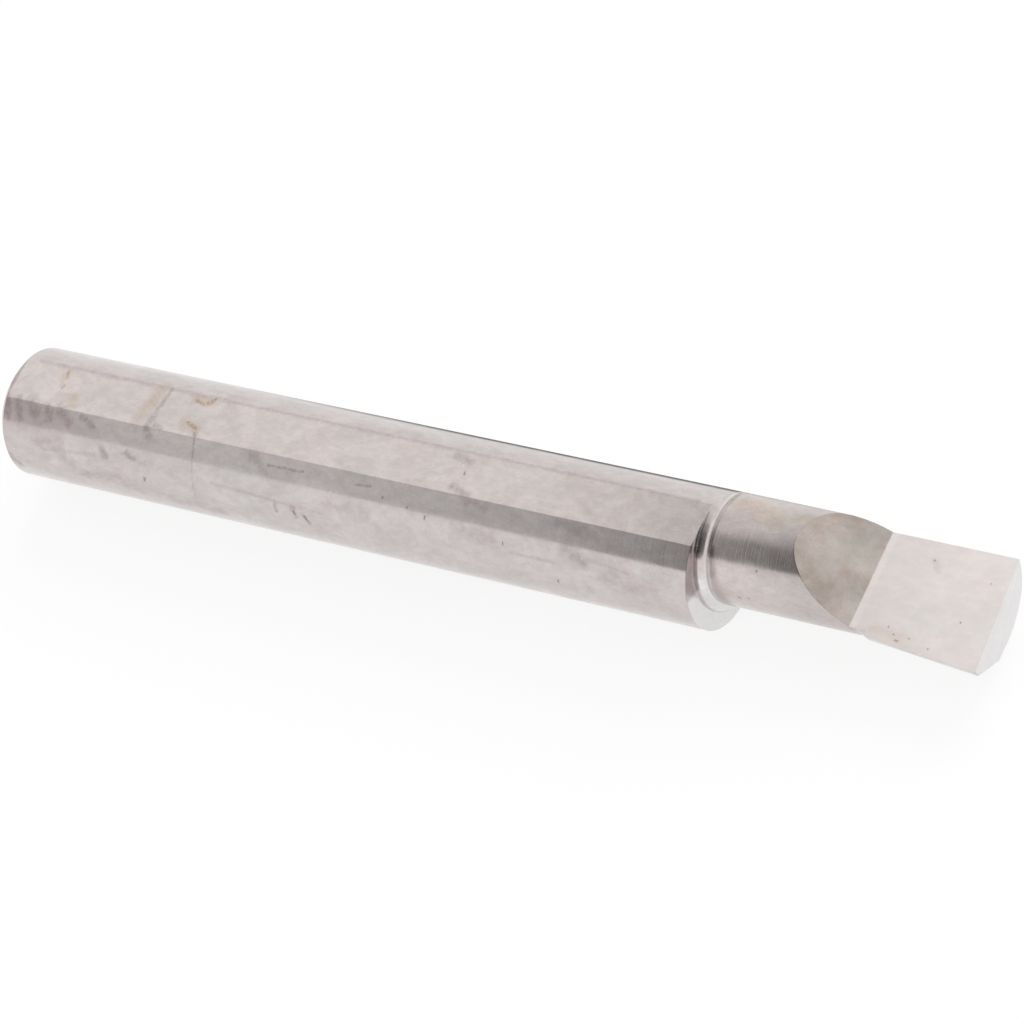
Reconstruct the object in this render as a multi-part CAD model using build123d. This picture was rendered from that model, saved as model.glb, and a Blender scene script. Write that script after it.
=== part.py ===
"""Solid carbide boring bar: a ground round bar with a clamping flat, an eccentric
neck and a half-round cutting head, all one piece.

Frame, in millimetres, as the bar is clamped for work: +X runs along the shank from the
back end to the tip, +Z is the way the clamping flat and the rake face look, and the
cutting edge lies on the -Y side. The origin is on the shank's axis at its back end.
"""
import os
from math import cos, radians, sin, tan

from build123d import *

# Shank
shank_diameter = 6.0
shank_length = 37.1          # back end to shoulder
back_chamfer = 0.4
flat_depth = 0.19            # ground off the round for the set screw

# Neck
neck_diameter = 4.8
neck_reach = 1.69            # front of the neck, out from the shank's axis
neck_back_taper = 0.15       # the neck's back falls away from the blank's round by this
shoulder_fillet = 0.4        # wheel radius left where the neck meets the shoulder

# Whole bar and cutting head
overall_length = 50.0
nose_reach = 2.475           # cutting nose, out from the shank's axis
rake_length = 6.1            # half-round part with the rake face
runout_angle = 42            # slope where the rake face's wheel left the neck
head_length = 5.4            # part that stands proud of the neck
head_depth = 2.25            # underside of the head, below the rake face
head_back_slant = 25         # the head's back face swings back towards the neck by this
end_cutting_angle = 3        # front edge falls back from the nose by this
end_clearance = 7
side_cutting_angle = 5.5     # side edge falls back from the nose by this
side_clearance = 15
land_height = 0.52           # side land, from the cutting edge to the secondary relief
secondary_clearance = 45
nose_radius = 0.1

# Places worked out from those sizes
shank_radius = shank_diameter / 2
neck_radius = neck_diameter / 2
neck_offset = neck_radius - neck_reach
flat_height = shank_radius - flat_depth
runout_start = overall_length - rake_length
head_start = overall_length - head_length
blank_length = overall_length + nose_radius   # left long, so that the end is all ground
nose_centre = Vector(overall_length - nose_radius, nose_radius - nose_reach, 0)

def grind(solid, point, normal):
    """What is left of a solid when a flat through the point, facing the normal, is ground."""
    return split(solid, bisect_by=Plane(origin=point, z_dir=normal), keep=Keep.BOTTOM)


def make_shank():
    """Round bar with a chamfered back end and the clamping flat along its top."""
    blank = extrude(Plane.YZ * Circle(shank_radius), shank_length)
    back_edge = blank.edges().sort_by(Axis.X)[0]
    blank = chamfer(back_edge, back_chamfer)
    return grind(blank, Vector(0, 0, flat_height), Vector(0, 0, 1))


def make_neck():
    """Neck ground about its own axis, off the shank's, and flared by the fillet.

    Its circle runs past the shank's back, so the back of the neck keeps the blank's round,
    but for a slight taper towards the tip.
    """
    axis = Axis((0, neck_offset, 0), (1, 0, 0))
    root = shank_length + shoulder_fillet
    with BuildSketch() as profile:
        with BuildLine():
            Polyline(
                (root, neck_offset + neck_radius),
                (blank_length, neck_offset + neck_radius),
                (blank_length, neck_offset),
                (shank_length, neck_offset),
                (shank_length, neck_offset + neck_radius + shoulder_fillet),
            )
            RadiusArc(
                (shank_length, neck_offset + neck_radius + shoulder_fillet),
                (root, neck_offset + neck_radius),
                shoulder_fillet,
            )
        make_face()
    turned = revolve(profile.sketch, axis)
    length = blank_length - shank_length
    tip_radius = shank_radius - length * tan(radians(neck_back_taper))
    blank = Cone(shank_radius, tip_radius, length, align=(Align.CENTER, Align.CENTER, Align.MIN))
    return turned & Pos(shank_length, 0, 0) * Rot(0, 90, 0) * blank


def make_head():
    """Block under the rake face that carries the edges past the neck's round."""
    front = nose_reach + nose_radius
    block = Pos(blank_length, -front, -head_depth) * Box(
        blank_length - shank_length,
        front + neck_offset,
        head_depth,
        align=(Align.MAX, Align.MIN, Align.MIN),
    )
    back = radians(head_back_slant)
    back_normal = Vector(-cos(back), -sin(back), 0)
    block = grind(block, Vector(head_start, -neck_reach, 0), back_normal)
    side = radians(side_cutting_angle)
    edge_out = Vector(-sin(side), -cos(side), 0)
    side_point = nose_centre + edge_out * nose_radius
    land_normal = tilt_down(edge_out, side_clearance)
    relief_normal = tilt_down(edge_out, secondary_clearance)
    clearance = radians(side_clearance)
    land_foot = side_point + Vector(0, 0, -land_height)
    land_foot -= edge_out * (land_height * tan(clearance))
    block = grind(block, side_point, land_normal)
    return grind(block, land_foot, relief_normal)


def tilt_down(outward, angle):
    """A level outward direction leaned down by the clearance angle."""
    lean = radians(angle)
    return outward * cos(lean) + Vector(0, 0, -sin(lean))


def grind_rake(solid):
    """Takes off the upper half along the rake face, with its sloping run-out."""
    lean = radians(runout_angle)
    reach = shank_diameter
    with BuildSketch(Plane.XZ) as side_view:
        with BuildLine():
            Polyline(
                (runout_start, 0),
                (overall_length + reach, 0),
                (overall_length + reach, reach),
                (runout_start - reach / tan(lean), reach),
                close=True,
            )
        make_face()
    return solid - extrude(side_view.sketch, reach, both=True)


def grind_end(solid):
    """Grinds the front face, and rounds the nose where it meets the side land."""
    end = radians(end_cutting_angle)
    edge_out = Vector(cos(end), sin(end), 0)
    front_point = nose_centre + edge_out * nose_radius
    solid = grind(solid, front_point, tilt_down(edge_out, end_clearance))
    nose_edge = solid.edges().sort_by_distance((overall_length, -nose_reach, 0))
    nose_edge = nose_edge.filter_by(lambda edge: abs(edge.tangent_at(0).Z) > cos(radians(45)))[0]
    return fillet(nose_edge, nose_radius)


def make_boring_bar():
    """The whole bar as one solid."""
    tool_end = grind_rake(make_neck()) + make_head()
    return (make_shank() + grind_end(tool_end)).clean()


os.makedirs("parts", exist_ok=True)
boring_bar = make_boring_bar()
export_step(boring_bar, "parts/boring_bar.step")
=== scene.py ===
# %% [markdown]
# # A ground carbide boring bar
# A boring bar enlarges holes from the inside. This one is a single piece of tungsten carbide,
# ground all over: a round shank that slides into a holder, a clamping flat for the set screw,
# a slimmer neck, and a half-round head whose edge does the cutting.
# The solid comes ready from CAD, in metres, and this lesson gives it its finish, its light and
# its view. The frame is loaded first.

# %% Load the frame
import math

import bpy
import numpy as np
from mathutils import Matrix, Vector

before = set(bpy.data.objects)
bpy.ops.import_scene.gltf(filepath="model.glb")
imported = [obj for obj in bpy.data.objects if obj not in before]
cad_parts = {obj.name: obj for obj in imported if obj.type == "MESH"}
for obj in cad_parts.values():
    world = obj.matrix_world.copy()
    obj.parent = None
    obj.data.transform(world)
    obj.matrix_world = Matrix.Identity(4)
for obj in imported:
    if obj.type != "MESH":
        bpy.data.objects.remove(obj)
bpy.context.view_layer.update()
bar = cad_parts["boring_bar"]
print("solid:", bar.name, "triangles:", len(bar.data.polygons))

# %% [markdown]
# ## The camera
# The bar is small, so it is seen through a long lens from about four bar lengths away, well
# above it and from the side of the cutting edge. A camera's place and turn can be set as a
# matrix: its columns are where its right, its up and its back point in the world.
# The Standard view shows each colour as it is written.

# %% Camera
CAMERA_PLACE = Vector((0.1200496, -0.0681708, 0.1366574))
CAMERA_RIGHT = Vector((0.832720, 0.420323, -0.360425))
CAMERA_UP = Vector((-0.183242, 0.823467, 0.536958))
LENS_MM = 145.645
SENSOR_MM = 36
CLIP_START = 0.005

camera_data = bpy.data.cameras.new("camera")
camera_data.lens, camera_data.sensor_width = LENS_MM, SENSOR_MM
camera_data.clip_start = CLIP_START
camera = bpy.data.objects.new("camera", camera_data)
bpy.context.scene.collection.objects.link(camera)
turn = Matrix((CAMERA_RIGHT, CAMERA_UP, CAMERA_RIGHT.cross(CAMERA_UP))).transposed()
camera.matrix_world = Matrix.Translation(CAMERA_PLACE) @ turn.to_4x4()
bpy.context.scene.camera = camera
bpy.context.scene.view_settings.view_transform = "Standard"
print("camera:", round(CAMERA_PLACE.length * 1000), "mm from the bar's back end")

# %% [markdown]
# ## Nodes as formulas
# A finish is a network of nodes. Each of these helpers adds one node, joins its inputs and
# hands back its output, so that a finish reads like a formula. More of them follow below,
# each where it is first needed.

# %% Value helpers
def join(tree, socket, value):
    """Sets a socket: another socket is linked to it, a plain value is written in it."""
    if isinstance(value, bpy.types.NodeSocket):
        tree.links.new(value, socket)
    else:
        socket.default_value = value


def maths(tree, operation, a, b=0.0, c=0.0, clamp=False):
    """One Math node: the operation on a, b and c, held to 0..1 where clamp is set."""
    node = tree.nodes.new("ShaderNodeMath")
    node.operation, node.use_clamp = operation, clamp
    for socket, value in zip(node.inputs, (a, b, c)):
        join(tree, socket, value)
    return node.outputs[0]


print("value helpers: join, maths")

# %% [markdown]
# ## The studio
# Polished metal shows what stands around it, so most of its look is made here. A finish that
# glows white for the camera and for mirror rays makes a white surrounding and puts no more
# light on the bar. Stage pieces are plain meshes.

# %% Stage helpers
NO_GLOSS = 0.0
WHITE, BLACK = (1, 1, 1, 1), (0, 0, 0, 1)


def new_finish(name):
    """A new node material: its tree and its main shader."""
    finish = bpy.data.materials.new(name)
    finish.use_nodes = True
    return finish, finish.node_tree, finish.node_tree.nodes["Principled BSDF"]


def glowing_finish(name, base):
    """A material with no gloss and a white glow, whose strength is still to be linked."""
    finish, tree, surface = new_finish(name)
    surface.inputs["Base Color"].default_value = base
    surface.inputs["Specular IOR Level"].default_value = NO_GLOSS
    surface.inputs["Emission Color"].default_value = WHITE
    return finish, tree, surface


def seen_or_mirrored(tree):
    """1 for rays from the camera and for mirror rays, 0 for the rest."""
    path = tree.nodes.new("ShaderNodeLightPath")
    return maths(tree, "MAXIMUM", path.outputs["Is Camera Ray"], path.outputs["Is Glossy Ray"])


def stage_mesh(name, points, faces):
    """A stage piece from its points and faces."""
    mesh = bpy.data.meshes.new(name)
    mesh.from_pydata(points.tolist(), [], faces)
    piece = bpy.data.objects.new(name, mesh)
    bpy.context.scene.collection.objects.link(piece)
    return piece


print("stage helpers: new_finish, glowing_finish, seen_or_mirrored, stage_mesh")

# %% [markdown]
# The floor is pale and matt and takes the bar's soft shadow. The world around it is white, as
# in a light tent, but a little weaker as a source of light than it is to look at.

# %% Floor and surroundings
FLOOR_HEIGHT, FLOOR_HALF = -0.003, 0.8
FLOOR_WHITE, FLOOR_ROUGHNESS, FLOOR_GLOW = (0.30, 0.30, 0.30, 1), 0.9, 0.79
SKY_FOR_LIGHT = 0.62
BAR_MIDDLE = Vector((0.025, 0, 0))

corner_signs = np.array([(-1, -1, 0), (1, -1, 0), (1, 1, 0), (-1, 1, 0)])
floor_points = corner_signs * FLOOR_HALF + (BAR_MIDDLE.x, 0, FLOOR_HEIGHT)
floor = stage_mesh("floor", floor_points, [(0, 1, 2, 3)])
floor_finish, tree, surface = glowing_finish("pale_floor", FLOOR_WHITE)
surface.inputs["Roughness"].default_value = FLOOR_ROUGHNESS
glow = maths(tree, "MULTIPLY", seen_or_mirrored(tree), FLOOR_GLOW)
tree.links.new(glow, surface.inputs["Emission Strength"])
floor.data.materials.append(floor_finish)

world = bpy.data.worlds.new("white_tent")
bpy.context.scene.world = world
world.use_nodes = True
tree = world.node_tree
path = tree.nodes.new("ShaderNodeLightPath")
direct = maths(tree, "MAXIMUM", seen_or_mirrored(tree), path.outputs["Is Transmission Ray"])
tree.nodes["Background"].inputs[0].default_value = WHITE
strength = maths(tree, "MULTIPLY_ADD", direct, 1 - SKY_FOR_LIGHT, SKY_FOR_LIGHT)
tree.links.new(strength, tree.nodes["Background"].inputs[1])
print("floor:", 2 * FLOOR_HALF, "m wide at z", FLOOR_HEIGHT, "m; sky at", SKY_FOR_LIGHT)

# %% [markdown]
# One large soft lamp hangs behind the bar and above it. It throws the soft shadow, and is kept
# out of the mirror image, where it would be a hot spot.

# %% Lamp
LAMP_ANGLE, LAMP_LEAN = math.radians(-58), 0.1
LAMP_DISTANCE, LAMP_SIZE, LAMP_WATTS = 0.6, 0.5, 1.1

lamp_data = bpy.data.lights.new("overhead", "AREA")
lamp_data.size, lamp_data.energy = LAMP_SIZE, LAMP_WATTS
lamp = bpy.data.objects.new("overhead", lamp_data)
lamp_way = Vector((LAMP_LEAN, -math.sin(LAMP_ANGLE), math.cos(LAMP_ANGLE)))
lamp.location = BAR_MIDDLE + lamp_way * LAMP_DISTANCE
lamp.rotation_euler = lamp_way.to_track_quat("Z", "Y").to_euler()
lamp.visible_glossy = False
bpy.context.scene.collection.objects.link(lamp)
print("lamp at", [round(v, 3) for v in lamp.location], "m")

# %% [markdown]
# ## A card for the metal to mirror
# A curved grey card stands beside the bar, where the dark side of a room would be. A round bar
# shows such a card as a dark line along its length, and that line is what makes it read as
# round and polished.
# The card is a piece of a tube around the bar's axis, so each point of it has a place along the
# bar and an angle round it, and its grey is a formula of those two. Only mirror rays meet it.
# `between` turns a range of any value into a soft step, and with its ends swapped it falls.

# %% Card shape
CARD_RADIUS = 0.15
CARD_X, CARD_ANGLES, CARD_STEPS = (-0.3, 0.35), (-80, 56), 68


def tube_card(name, radius, x_range, angles, steps):
    """Points at x and an angle from straight up: (x, -radius sin, radius cos), as two long rows."""
    angle = np.radians(np.linspace(*angles, steps + 1))
    ring = np.stack([np.zeros_like(angle), -np.sin(angle), np.cos(angle)], 1) * radius
    points = np.concatenate([ring + (x_range[0], 0, 0), ring + (x_range[1], 0, 0)])
    first = np.arange(steps)
    faces = np.stack([first, first + 1, first + steps + 2, first + steps + 1], 1)
    return stage_mesh(name, points, faces.tolist())


def only_mirrored(piece):
    """Hides a stage piece from all but mirror rays."""
    piece.visible_camera = piece.visible_diffuse = piece.visible_shadow = False


card = tube_card("grey_card", CARD_RADIUS, CARD_X, CARD_ANGLES, CARD_STEPS)
only_mirrored(card)
print("card:", len(card.data.polygons), "strips, radius", CARD_RADIUS, "m")

# %% [markdown]
# The card's greys are three soft-edged bands. The shank mirrors the far band, whose darkness
# grows towards the head. The neck mirrors the near band, which is much darker, and the shoulder
# and its fillet mirror the low one.

# %% Card greys
FAR_ANGLES, FAR_X, FAR_DARK = (2, 12), (-0.085, -0.04), (0.26, 0.47)
NEAR_ANGLES, NEAR_X, NEAR_DARK = (-38, 20), (-0.054, -0.036), 0.84
LOW_ANGLES, LOW_X, LOW_DARK = (-76, -16), ((-0.053, -0.043), (-0.026, -0.035)), 0.42


def parts_of(tree, vector):
    """The three values of a vector."""
    node = tree.nodes.new("ShaderNodeSeparateXYZ")
    join(tree, node.inputs[0], vector)
    return node.outputs


def between(tree, value, low, high, out_low=0.0, out_high=1.0):
    """Smoothly turns low..high into out_low..out_high: with t the share of the way from low to
    high, the step is 3 t t - 2 t t t."""
    node = tree.nodes.new("ShaderNodeMapRange")
    node.interpolation_type = "SMOOTHSTEP"
    for socket, item in zip(node.inputs, (value, low, high, out_low, out_high)):
        join(tree, socket, item)
    return node.outputs[0]


def object_place(tree):
    """The place on the object itself, in metres."""
    return tree.nodes.new("ShaderNodeTexCoord").outputs["Object"]


card_finish, tree, surface = glowing_finish("grey_card", BLACK)
x, y, z = parts_of(tree, object_place(tree))
angle = maths(tree, "DEGREES", maths(tree, "ARCTAN2", maths(tree, "MULTIPLY", y, -1), z))
far_dark = maths(tree, "MULTIPLY", between(tree, angle, *FAR_ANGLES),
                 between(tree, x, *FAR_X, *FAR_DARK))
near_dark = maths(tree, "MULTIPLY", between(tree, angle, *NEAR_ANGLES), NEAR_DARK)
near_share = between(tree, x, *NEAR_X)
dark = maths(tree, "ADD", maths(tree, "MULTIPLY", far_dark, maths(tree, "SUBTRACT", 1, near_share)),
             maths(tree, "MULTIPLY", near_dark, near_share))
low_dark = maths(tree, "MULTIPLY", between(tree, angle, *LOW_ANGLES), LOW_DARK)
for rim, core in LOW_X:
    low_dark = maths(tree, "MULTIPLY", low_dark, between(tree, x, rim, core))
dark = maths(tree, "MAXIMUM", dark, low_dark)
tree.links.new(maths(tree, "SUBTRACT", 1, dark), surface.inputs["Emission Strength"])
card.data.materials.append(card_finish)
print("card finish:", len(tree.nodes), "nodes")

# %% [markdown]
# The thin dark line along the top outline of the shank is the mirror image of the bar's shadow
# on the table close behind it. A narrow strip lies there as a painted shadow, again for mirror
# rays only. It is as white as the floor at its rim and darkens softly inwards, so it has no edge
# to mirror.

# %% Strip behind the bar
STRIP_X, STRIP_Y, STRIP_LIFT = (0.002, 0.044), (0.0036, 0.0105), 0.0001
STRIP_DARKNESS = 0.8
STRIP_X_FADES = ((0.004, 0.020), (0.042, 0.033))
STRIP_Y_FADES = ((0.0038, 0.0058), (0.0100, 0.0076))

strip_points = np.array([(STRIP_X[i], STRIP_Y[j], FLOOR_HEIGHT + STRIP_LIFT)
                         for i, j in ((0, 0), (1, 0), (1, 1), (0, 1))])
# The strip is a painted shadow, seen only in the mirror image.
strip = stage_mesh("mirrored_shadow_strip", strip_points, [(0, 1, 2, 3)])
strip_finish, tree, surface = glowing_finish("mirrored_shadow_strip", BLACK)
x, y, _ = parts_of(tree, object_place(tree))
dark = STRIP_DARKNESS
for value, fades in ((x, STRIP_X_FADES), (y, STRIP_Y_FADES)):
    for rim, core in fades:
        dark = maths(tree, "MULTIPLY", dark, between(tree, value, rim, core))
tree.links.new(maths(tree, "SUBTRACT", 1, dark), surface.inputs["Emission Strength"])
strip.data.materials.append(strip_finish)
only_mirrored(strip)
print("strip:", round((STRIP_Y[1] - STRIP_Y[0]) * 1000, 1), "mm wide")

# %% [markdown]
# ## Ground carbide: where things are
# Tungsten carbide is a hard, heavy, slightly warm grey. A diamond wheel leaves each face with
# its own lines and its own brightness, so the finish first has to know where it is.
# All places are in millimetres on the bar itself. Round the shank a second measure helps: the
# arc, the length along the skin from the crest towards the cutting side, because smears and
# scratches lie on the skin and not in space.

# %% Places on the bar
SHANK_RADIUS, SHOULDER_X, RAKE_X = 3.0, 37.1, 43.9
MM_IN_A_METRE = 1000


def vector_maths(tree, operation, a, b=(0, 0, 0), scale=None):
    """One Vector Math node. Lengths and dot products come back as plain values."""
    node = tree.nodes.new("ShaderNodeVectorMath")
    node.operation = operation
    join(tree, node.inputs[0], a)
    join(tree, node.inputs[1], b)
    if scale is not None:
        join(tree, node.inputs["Scale"], scale)
    return node.outputs["Value" if operation in ("LENGTH", "DOT_PRODUCT") else "Vector"]


finish, tree, surface = new_finish("ground_carbide_finish")
place = vector_maths(tree, "SCALE", object_place(tree), scale=MM_IN_A_METRE)
x, y, z = parts_of(tree, place)
across = maths(tree, "MULTIPLY", y, -1)
arc = maths(tree, "MULTIPLY", maths(tree, "ARCTAN2", across, z), SHANK_RADIUS)
print("half way round the shank is", round(math.pi * SHANK_RADIUS, 2), "mm of arc")

# %% [markdown]
# Each face gets a mask, which is 1 on the face and 0 elsewhere. It is found from what is true
# of that face alone: the flat and the rake face by their height, the run-out by its slope, the
# tip by the way it faces, and the neck, its fillet and the shoulder by their place along x.

# %% Faces
RUNOUT_ANGLE, RUNOUT_START, NEAR_RUNOUT = 42, (40.8, 41.0), (0.06, 0.02)
FLAT_HEIGHTS, RAKE_HEIGHTS, TIP_FACING = (2.795, 2.806), (-0.03, -0.01), (0.8, 0.95)
FILLET_END, FILLET_ARCS = (SHOULDER_X + 0.55, SHOULDER_X + 0.35), (2.0, 3.0)
SHOULDER_START = (SHOULDER_X - 0.06, SHOULDER_X - 0.02)
SHOULDER_END = (SHOULDER_X + 0.16, SHOULDER_X + 0.06)
SHADED_ARCS = ((0.9, 1.3), (3.75, 3.45))


def product(*masks):
    """Several masks at once."""
    total = masks[0]
    for mask in masks[1:]:
        total = maths(tree, "MULTIPLY", total, mask)
    return total


def except_for(mask):
    """Everywhere but there: 1 less the mask."""
    return maths(tree, "SUBTRACT", 1, mask)


geometry = tree.nodes.new("ShaderNodeNewGeometry")
facing_tip = between(tree, parts_of(tree, geometry.outputs["Normal"])[0], *TIP_FACING)
on_rake = product(between(tree, z, *RAKE_HEIGHTS), between(tree, x, RAKE_X - 0.03, RAKE_X + 0.03))
before_rake = maths(tree, "SUBTRACT", RAKE_X, x)
runout_height = maths(tree, "MULTIPLY", before_rake, math.tan(math.radians(RUNOUT_ANGLE)))
off_runout = maths(tree, "ABSOLUTE", maths(tree, "SUBTRACT", z, runout_height))
on_runout = product(between(tree, off_runout, *NEAR_RUNOUT), between(tree, x, *RUNOUT_START),
                    except_for(on_rake))
on_flat = product(between(tree, z, *FLAT_HEIGHTS), between(tree, x, SHOULDER_X, SHOULDER_X - 0.1))
past_shoulder = between(tree, x, SHOULDER_X, SHOULDER_X + 0.1)
on_fillet = product(past_shoulder, between(tree, x, *FILLET_END), between(tree, arc, *FILLET_ARCS))
# The shaded shoulder mask below marks where painted shade and a painted dark reflection go.
on_shoulder = product(between(tree, x, *SHOULDER_START), between(tree, x, *SHOULDER_END))
shaded_shoulder = product(on_shoulder, *(between(tree, arc, *arcs) for arcs in SHADED_ARCS))
on_head = between(tree, x, RAKE_X, RAKE_X + 0.4)
on_neck = product(past_shoulder, except_for(on_rake), except_for(on_runout), except_for(facing_tip))
print("faces: flat, shoulder, fillet, neck, run-out, rake, head, tip in", len(tree.nodes), "nodes")

# %% [markdown]
# ## Ground carbide: colour
# Each face has its own grey, and very faint pink and green clouds lie over it. They are noise
# in millimetres, a few millimetres wide. The greys of a metal are the shares of red, green and
# blue light that it mirrors, so a warm grey mirrors a little more red.

# %% Greys
SHANK_GREY = (0.602, 0.554, 0.546, 1)
FLAT_GREY = (0.637, 0.579, 0.563, 1)
NECK_GREY = (0.632, 0.570, 0.556, 1)
RUNOUT_GREY = (0.500, 0.443, 0.408, 1)
RAKE_GREY = (0.850, 0.790, 0.765, 1)
TIP_GREY = (0.745, 0.735, 0.735, 1)
FLANK_GREY = (0.740, 0.700, 0.685, 1)
PINK, GREEN, TINT_SHARE = (1.045, 0.975, 0.985, 1), (0.955, 1.005, 0.975, 1), 0.28


def blend_colour(tree, share, below, above, kind="MIX"):
    """One colour over another, by a share from 0 to 1."""
    node = tree.nodes.new("ShaderNodeMix")
    node.data_type, node.blend_type = "RGBA", kind
    join(tree, node.inputs[0], share)
    join(tree, node.inputs[6], below)
    join(tree, node.inputs[7], above)
    return node.outputs[2]


def cloud(tree, place, scale, detail=4.0, rough=0.5, stretch=(1, 1, 1), shift=(0, 0, 0), twist=0.0):
    """Noise on a place vector, stretched per axis. The output runs around 0.5."""
    mapping = tree.nodes.new("ShaderNodeMapping")
    join(tree, mapping.inputs[0], place)
    mapping.inputs["Scale"].default_value = stretch
    mapping.inputs["Location"].default_value = shift
    noise = tree.nodes.new("ShaderNodeTexNoise")
    tree.links.new(mapping.outputs[0], noise.inputs["Vector"])
    noise.inputs["Scale"].default_value = scale
    noise.inputs["Detail"].default_value = detail
    noise.inputs["Roughness"].default_value = rough
    noise.inputs["Distortion"].default_value = twist
    return noise.outputs[0]


greys = ((on_flat, FLAT_GREY), (on_neck, NECK_GREY), (on_runout, RUNOUT_GREY),
         (on_fillet, TIP_GREY), (on_head, FLANK_GREY), (on_rake, RAKE_GREY), (facing_tip, TIP_GREY))
colour = SHANK_GREY
for mask, grey in greys:
    colour = blend_colour(tree, mask, colour, grey)

tint_noise = cloud(tree, place, 0.55, detail=5, rough=0.6, stretch=(0.7, 1, 1), shift=(5, 2, 1),
                   twist=0.6)
tint = blend_colour(tree, between(tree, tint_noise, 0.36, 0.64), PINK, GREEN)
colour = blend_colour(tree, TINT_SHARE, colour, tint, "MULTIPLY")
print("greys:", len(greys) + 1)

# %% [markdown]
# A slower light and dark haze comes from handling, smaller blotches from drying, and a fine
# grain, a tenth of a millimetre wide, from the metal itself. Each is noise turned into a small
# change of brightness. The rake and the tip, ground last and never handled, are calmer.

# %% Haze and grain
CALMING = 0.6
DARKER_LIGHTER = {"haze": (-0.075, 0.055), "blotches": (-0.055, 0.045), "grain": (-0.03, 0.03)}


def shade(colour, amount):
    """Multiplies a colour by a plain value."""
    return vector_maths(tree, "SCALE", colour, scale=amount)


clouds = {
    "haze": cloud(tree, place, 0.8, detail=7, rough=0.62, stretch=(0.6, 1, 1), shift=(1, 7, 3),
                  twist=0.8),
    "blotches": cloud(tree, place, 3.2, detail=5, rough=0.6, stretch=(0.7, 1, 1), shift=(2, 3, 9),
                      twist=0.5),
    "grain": cloud(tree, place, 11, detail=3, rough=0.7),
}
calm = except_for(maths(tree, "MULTIPLY", maths(tree, "MAXIMUM", on_rake, facing_tip), CALMING))
for name, noise in clouds.items():
    change = between(tree, noise, 0.3, 0.7, *DARKER_LIGHTER[name])
    colour = shade(colour, maths(tree, "MULTIPLY_ADD", change, calm, 1))
print("clouds:", ", ".join(clouds))

# %% [markdown]
# The run-out, the slope that leads down to the rake face, is stained in brown and green
# patches. The neck is duller towards it, and the first hair of the rake face, where the
# wheel stopped, is a little brighter.

# %% Run-out patches, neck and rake band
BROWN_PATCH, GREEN_PATCH = (0.93, 0.875, 0.82, 1), (0.95, 0.985, 0.98, 1)
NECK_DULLING_X, NECK_DULLING = (38.3, 42.8), (0, -0.15)
BAND_X, BAND_LIFT = (RAKE_X + 0.4, RAKE_X + 0.2), 0.06

patches = cloud(tree, place, 0.75, detail=5, rough=0.6, shift=(8, 1, 4), twist=0.8)
brown_share = product(between(tree, patches, 0.46, 0.66), on_runout)
green_share = product(between(tree, patches, 0.5, 0.34), on_runout)
colour = blend_colour(tree, brown_share, colour, BROWN_PATCH, "MULTIPLY")
colour = blend_colour(tree, green_share, colour, GREEN_PATCH, "MULTIPLY")
slow_patches = cloud(tree, place, 0.45, detail=3, shift=(3, 6, 1))
slow_change = between(tree, slow_patches, 0.35, 0.65, -0.1, 0.07)
colour = shade(colour, maths(tree, "MULTIPLY_ADD", on_runout, slow_change, 1))
neck_change = between(tree, x, *NECK_DULLING_X, *NECK_DULLING)
colour = shade(colour, maths(tree, "MULTIPLY_ADD", on_neck, neck_change, 1))
band = product(between(tree, x, *BAND_X), on_rake)
colour = shade(colour, maths(tree, "MULTIPLY_ADD", band, BAND_LIFT, 1))
print("neck loses", round(-100 * NECK_DULLING[1]), "% towards the run-out")

# %% [markdown]
# ## Marks of use, and painted shade
# A used bar has a history: tan oil stains that dried on the flat, a grey rub beside them,
# finger smudges at the back end, small pits, and hair scratches. Each is a short stroke on
# the skin. A stroke is all points near a line from one end to the other: the nearest point of
# the line is found with a dot product, and the distance to it gives a soft mask. The place is
# first shaken by noise, so that no mark has a ruled edge. What is marked so far rides along as
# the third coordinate, so skin that has its mark already is far from every later stroke. That
# also keeps the strokes in a chain, which needs far less memory than all of them side by side.

# %% Strokes
STROKE_RIM, STROKE_CORE = 1.5, 0.1
LOOSE, SOFT, TIGHT = (0.75, 2.2), (0.4, 3.5), (0.2, 6)


def vector_of(tree, x, y, z=0.0):
    """A vector from three values."""
    node = tree.nodes.new("ShaderNodeCombineXYZ")
    for socket, value in zip(node.inputs, (x, y, z)):
        join(tree, socket, value)
    return node.outputs[0]


def strokes(place_2d, rows):
    """The union of soft strokes from a to b. With t the share of the way along, which is
    (p - a).(b - a) over the length of b - a squared, held to 0..1, the distance is the length
    of p - a - t (b - a)."""
    along_x, along_arc, _ = parts_of(tree, place_2d)
    total = 0.0
    for x_a, arc_a, x_b, arc_b, width in rows:
        reach = Vector((x_b - x_a, arc_b - arc_a, 0))
        marked = vector_of(tree, along_x, along_arc, total)
        from_start = vector_maths(tree, "SUBTRACT", marked, (x_a, arc_a, 0))
        per_length = tuple(reach / max(reach.length_squared, 1e-6))
        along = vector_maths(tree, "DOT_PRODUCT", from_start, per_length)
        along = maths(tree, "ADD", along, 0, clamp=True)
        nearest = vector_maths(tree, "SCALE", tuple(reach), scale=along)
        offset = vector_maths(tree, "SUBTRACT", from_start, nearest)
        distance = vector_maths(tree, "LENGTH", offset)
        stroke = between(tree, distance, width * STROKE_RIM, width * STROKE_CORE)
        total = maths(tree, "MAXIMUM", total, stroke)
    return total


def shaken(place_2d, amount, scale):
    """A place moved by up to about a third of an amount, by noise."""
    noise = tree.nodes.new("ShaderNodeTexNoise")
    join(tree, noise.inputs["Vector"], place)
    noise.inputs["Scale"].default_value = scale
    offset = vector_maths(tree, "SUBTRACT", noise.outputs["Color"], (0.5, 0.5, 0.5))
    return vector_maths(tree, "ADD", place_2d, vector_maths(tree, "SCALE", offset, scale=amount))


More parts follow.
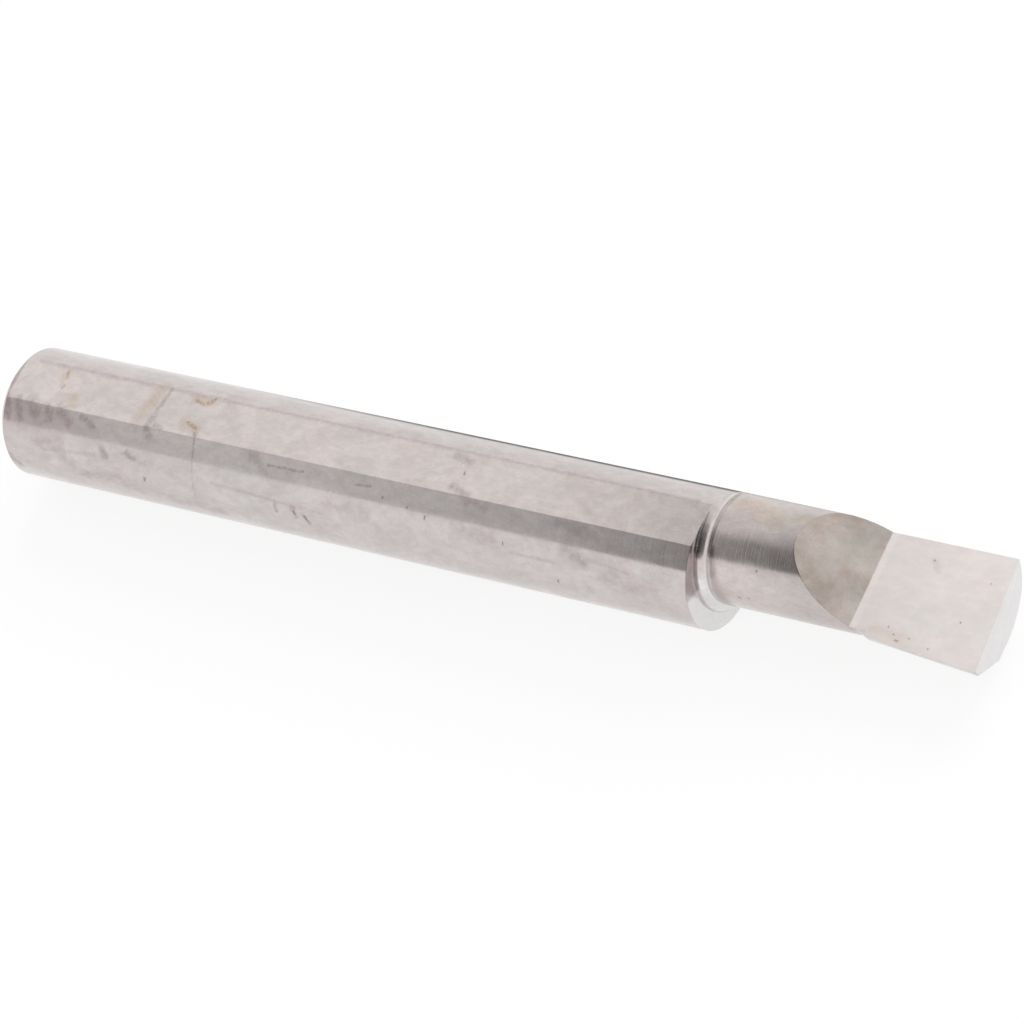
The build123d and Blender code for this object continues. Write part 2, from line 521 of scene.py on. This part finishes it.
on_skin = vector_of(tree, x, arc)
skin_loose, skin_soft, skin_tight = (shaken(on_skin, *how) for how in (LOOSE, SOFT, TIGHT))
print("skins: shaken by", LOOSE[0], SOFT[0], "and", TIGHT[0], "mm")

# %% [markdown]
# The marks are tables, so that one can be moved or left out by hand. A row is x and arc of one
# end, x and arc of the other end, and the half width, all in millimetres. On the rake face the
# second measure is the place across the bar.

# %% Where the marks lie
TAN_STAINS = ((8.29, -1.17, 7.91, 0.99, 0.33), (10.4, 0.5, 11.0, 0.6, 0.4),
              (3.0, -0.9, 2.9, -0.2, 0.2), (4.0, 0.45, 4.05, 0.75, 0.32),
              (10.4, -0.9, 11.2, -0.8, 0.3))
BROWN_STAINS = ((2.9, -0.86, 3.0, -0.6, 0.09), (10.34, -0.80, 10.86, -0.66, 0.11),
                (10.86, -0.66, 11.2, -0.86, 0.13), (11.2, -0.86, 11.3, -1.1, 0.09),
                (10.55, 0.43, 11.1, 0.66, 0.11), (11.1, 0.66, 11.2, 0.92, 0.14),
                (3.1, -0.1, 3.05, 0.05, 0.07))
GREY_RUBS = ((8.8, -1.1, 8.6, 0.35, 0.11), (8.6, 0.35, 8.55, 0.98, 0.2),
             (8.7, 0.9, 9.3, 1.0, 0.14), (24.5, -0.8, 25.3, -0.6, 0.22),
             (25.0, 0.75, 25.9, 1.0, 0.2), (31.2, 2.4, 32.0, 2.7, 0.35))
# The flat's edge lines are painted shade: a dark line along the upper edge of the flat.
FLAT_EDGE_SHADE_LINES = ((1.2, -1.14, 12, -1.1, 0.15), (12, -1.1, 36.5, -1.1, 0.1))
SPOTS = ((8.55, 1.2, 8.75, 1.45, 0.24), (6.2, 2.5, 6.35, 2.85, 0.22),
         (15.84, 3.2, 15.87, 3.7, 0.13), (16.8, 3.35, 16.9, 3.75, 0.16),
         (17.3, 3.6, 17.6, 4.0, 0.16), (7.6, 2.45, 7.9, 2.6, 0.2), (0.5, 4.0, 0.8, 4.6, 0.2))
PITS = ((8.5, 3.55, 8.46, 3.69, 0.09), (17.41, 3.68, 17.45, 3.8, 0.08),
        (16.85, 3.5, 16.86, 3.6, 0.06), (23.96, 2.31, 23.96, 2.39, 0.06),
        (28.0, 2.69, 28.0, 2.78, 0.05), (30.6, 4.04, 30.6, 4.14, 0.06),
        (25.25, -0.07, 25.27, 0.03, 0.06), (21.7, 1.84, 21.7, 1.92, 0.05),
        (23.0, 2.05, 23.0, 2.12, 0.05), (38.77, 4.02, 38.83, 4.15, 0.07),
        (39.26, 3.96, 39.26, 4.02, 0.07), (39.8, 1.55, 39.8, 1.62, 0.06))
HAIRLINES = ((11.27, 1.0, 11.35, 1.94, 0.055), (15.5, 1.58, 17.36, 1.56, 0.06),
             (20.16, 1.60, 21.0, 1.53, 0.06))
FAINT_LINES = ((11.35, 1.94, 11.34, 2.87, 0.06), (11.34, 2.87, 11.27, 4.36, 0.06),
               (2.67, 3.18, 5.76, 2.88, 0.12), (28.38, 3.08, 30.5, 3.1, 0.09),
               (12.4, 3.0, 18.4, 3.3, 0.1), (32.4, 2.6, 34.3, 2.85, 0.08))
SMEARS = ((3.77, 3.45, 4.1, 3.7, 0.25), (4.72, 4.1, 6.8, 3.9, 0.3), (6.8, 4.1, 7.9, 4.4, 0.38),
          (2.2, 2.85, 3.8, 2.75, 0.25), (18.9, 2.75, 20.8, 2.7, 0.3), (9.5, 4.6, 12.5, 4.7, 0.3),
          (7.4, 2.6, 8.6, 2.75, 0.2), (33.0, 3.3, 35.5, 3.5, 0.4), (26.0, 2.6, 27.5, 2.7, 0.3),
          (14.4, 1.3, 15.3, 1.8, 0.3), (26.0, 1.2, 27.0, 1.3, 0.2), (30.7, 1.3, 32.3, 1.5, 0.3))
FINGER_SMUDGES = ((0.45, 1.15, 0.6, 1.9, 0.26), (1.1, 1.1, 1.3, 1.8, 0.24),
                  (1.8, 1.05, 2.2, 1.5, 0.34), (2.8, 1.15, 3.1, 1.6, 0.26),
                  (3.5, 1.15, 4.2, 1.6, 0.28), (4.9, 1.3, 5.6, 1.6, 0.2))
NECK_STAINS = ((38.2, -2.2, 39.8, -1.5, 0.7), (40.6, -1.7, 41.2, -1.9, 0.3))
# The corner lines are painted shade and a painted dark reflection, in the corner under the end of
# the flat.
CORNER_LINES = ((SHOULDER_X + 0.06, -0.7, SHOULDER_X + 0.07, 0.5, 0.035),
                (SHOULDER_X + 0.08, 0.5, SHOULDER_X + 0.09, 1.2, 0.085))
RAKE_STAINS = ((44.9, 1.5, 46.3, 1.75, 0.3), (46.2, -2.1, 46.6, -1.7, 0.15))
RAKE_PITS = ((45.55, 1.3, 45.56, 1.33, 0.05), (46.1, 1.84, 46.2, 1.86, 0.06),
             (48.46, 0.41, 48.49, 0.43, 0.05), (46.62, 1.63, 46.65, 1.64, 0.045),
             (46.2, -2.1, 46.23, -2.08, 0.05), (47.6, 1.9, 47.62, 1.92, 0.035),
             (45.9, 1.6, 45.94, 1.6, 0.035), (49.0, -1.6, 49.03, -1.58, 0.035))
mark_tables = (TAN_STAINS, BROWN_STAINS, GREY_RUBS, FLAT_EDGE_SHADE_LINES, SPOTS, PITS, HAIRLINES, FAINT_LINES,
               SMEARS, FINGER_SMUDGES, NECK_STAINS, CORNER_LINES, RAKE_STAINS, RAKE_PITS)
print("strokes:", sum(len(rows) for rows in mark_tables))

# %% [markdown]
# Each kind of mark is an ink that multiplies the colour below it. Noise breaks the inks up, as
# a film of oil dries unevenly. Only the pits, which are holes, stay whole.

# %% Masks of the marks
BREAK_RANGE, BREAK_SHARES = (0.3, 0.62), (0.45, 1.0)
RAKE_STAIN_SHARE = 0.6

breaks = cloud(tree, place, 6, detail=4, rough=0.6, shift=(4, 4, 4))
broken = between(tree, breaks, *BREAK_RANGE, *BREAK_SHARES)
skin_part = except_for(on_rake)
on_rake_plane = vector_of(tree, x, across)
rake_loose, rake_tight = shaken(on_rake_plane, 0.5, 2.5), shaken(on_rake_plane, 0.08, 9)
pits = maths(tree, "MAXIMUM", product(strokes(skin_tight, PITS), skin_part),
             product(strokes(rake_tight, RAKE_PITS), on_rake))
hairlines = product(strokes(skin_tight, HAIRLINES), skin_part)
stains = maths(tree, "MAXIMUM", product(strokes(skin_loose, TAN_STAINS + NECK_STAINS), skin_part),
               product(strokes(rake_loose, RAKE_STAINS), on_rake, RAKE_STAIN_SHARE))
smears = product(strokes(skin_loose, SMEARS), skin_part)
smudges = product(strokes(skin_soft, FINGER_SMUDGES + SPOTS), skin_part)
print("masks:", len(tree.nodes), "nodes so far")

# %% [markdown]
# The back end is grimy on the side that fingers hold, and its chamfer is dull. The corner under
# the end of the flat and the shoulder below it are darkened with painted shade and painted dark
# reflections.

# %% Lay the marks on
TAN, BROWN, RUB = (0.91, 0.84, 0.74, 1), (0.66, 0.54, 0.45, 1), (0.72, 0.69, 0.71, 1)
PURPLE, SMUDGE = (0.88, 0.83, 0.845, 1), (0.70, 0.63, 0.64, 1)
# The ink for the line along the flat's upper edge is painted shade.
FLAT_EDGE_SHADE, PIT, HAIR = (0.80, 0.75, 0.75, 1), (0.50, 0.45, 0.46, 1), (0.60, 0.57, 0.57, 1)
FAINT, GRIME, DULL = (0.88, 0.84, 0.85, 1), (0.90, 0.85, 0.86, 1), (0.76, 0.72, 0.72, 1)
# CORNER and SHADED are the greys of painted shade, in the corner under the flat and on the
# shoulder.
CORNER, SHADED = (0.30, 0.28, 0.28, 1), (0.70, 0.67, 0.67, 1)
CORNER_SHARE = 0.85
CHAMFER = 0.4
GRIMY_X, GRIMY_ARCS = (9, 1), ((1.0, 1.2), (2.9, 2.0))

inks = ((stains, TAN, 0.9), (strokes(skin_tight, BROWN_STAINS), BROWN, 0.8),
        (strokes(skin_tight, GREY_RUBS), RUB, 0.9), (smears, PURPLE, 0.85),
        (strokes(skin_tight, FLAT_EDGE_SHADE_LINES), FLAT_EDGE_SHADE, 0.8), (smudges, SMUDGE, 0.85),
        (strokes(skin_tight, FAINT_LINES), FAINT, 0.9), (hairlines, HAIR, 0.7), (pits, PIT, 0.7))
for mask, ink, share in inks:
    share = product(maths(tree, "MULTIPLY", mask, share), 1.0 if mask is pits else broken)
    colour = blend_colour(tree, share, colour, ink, "MULTIPLY")

grimy = product(between(tree, x, *GRIMY_X), *(between(tree, arc, *arcs) for arcs in GRIMY_ARCS))
# Painted shade in the corner under the flat, then painted shade on the shoulder.
painted_corner_shade = product(strokes(on_skin, CORNER_LINES), past_shoulder, CORNER_SHARE)
on_chamfer = between(tree, x, CHAMFER + 0.05, CHAMFER - 0.02)
for mask, ink in ((grimy, GRIME), (painted_corner_shade, CORNER), (shaded_shoulder, SHADED),
                  (on_chamfer, DULL)):
    colour = blend_colour(tree, mask, colour, ink, "MULTIPLY")
tree.links.new(colour, surface.inputs["Base Color"])
print("inks:", len(inks) + 4)

# %% [markdown]
# ## Grinding lines and edges
# The wheel's lines go round the neck and the shank, and along the flat. They are noise
# squeezed to about a tenth of a millimetre along x, or across it, and they are used as height:
# the neck was ground more coarsely, so it smears its mirror image along x and looks darker.
# A Bevel node rounds the normals at each ground edge by two hundredths of a millimetre.

# %% Height
LINES_START = (SHOULDER_X + 0.35, SHOULDER_X + 0.7)
NECK_DEPTH, SHANK_DEPTH, FLAT_DEPTH, HEAD_DEPTH, SKIN_DEPTH = 0.0034, 0.0012, 0.001, 0.0006, 0.0005
EDGE_BREAK, BEVEL_SAMPLES = 0.00002, 4
METRES_IN_A_MM = 0.001


def lines(scale, stretch, height):
    """Fine parallel lines of a height in millimetres."""
    noise = cloud(tree, place, scale, detail=3, rough=0.6, stretch=stretch)
    return maths(tree, "MULTIPLY", noise, height)


past_fillet = between(tree, x, *LINES_START)
on_shank_skin = (except_for(past_shoulder), except_for(on_flat))
neck_lines = product(lines(1, (12, 0.25, 0.25), NECK_DEPTH), on_neck, past_fillet)
shank_lines = product(lines(1, (7, 0.2, 0.2), SHANK_DEPTH), *on_shank_skin)
flat_lines = product(lines(1, (0.25, 7, 0.2), FLAT_DEPTH), on_flat)
on_ground_head = maths(tree, "MAXIMUM", on_runout, on_rake)
head_lines = product(lines(1, (1.2, 7, 1.2), HEAD_DEPTH), on_ground_head)
height = lines(9, (1, 1, 1), SKIN_DEPTH)
for layer in (neck_lines, shank_lines, flat_lines, head_lines):
    height = maths(tree, "ADD", height, layer)

bevel = tree.nodes.new("ShaderNodeBevel")
bevel.samples = BEVEL_SAMPLES
bevel.inputs["Radius"].default_value = EDGE_BREAK
bump = tree.nodes.new("ShaderNodeBump")
bump.inputs["Strength"].default_value = 1.0
bump.inputs["Distance"].default_value = METRES_IN_A_MM
tree.links.new(height, bump.inputs["Height"])
tree.links.new(bevel.outputs[0], bump.inputs["Normal"])
tree.links.new(bump.outputs[0], surface.inputs["Normal"])
print("deepest lines:", NECK_DEPTH * 1000, "micrometres, on the neck")

# %% [markdown]
# ## Roughness
# Ground carbide is nearly polished. Its roughness wanders a little, and it is higher on the
# neck and the run-out, under a film of oil, and most of all in the pits.

# %% Roughness
CLEAN_ROUGHNESS = (0.12, 0.2)

rough_noise = cloud(tree, place, 1.4, detail=6, rough=0.6, stretch=(0.6, 1, 1), shift=(3, 1, 0))
roughness = between(tree, rough_noise, 0.3, 0.7, *CLEAN_ROUGHNESS)
for mask, extra in ((on_neck, 0.06), (on_runout, 0.1), (smears, 0.08), (stains, 0.05), (pits, 0.3)):
    roughness = maths(tree, "MULTIPLY_ADD", mask, extra, roughness)
tree.links.new(roughness, surface.inputs["Roughness"])
surface.inputs["Metallic"].default_value = 1.0

bar.data.materials[0] = finish
print("finish:", len(tree.nodes), "nodes")
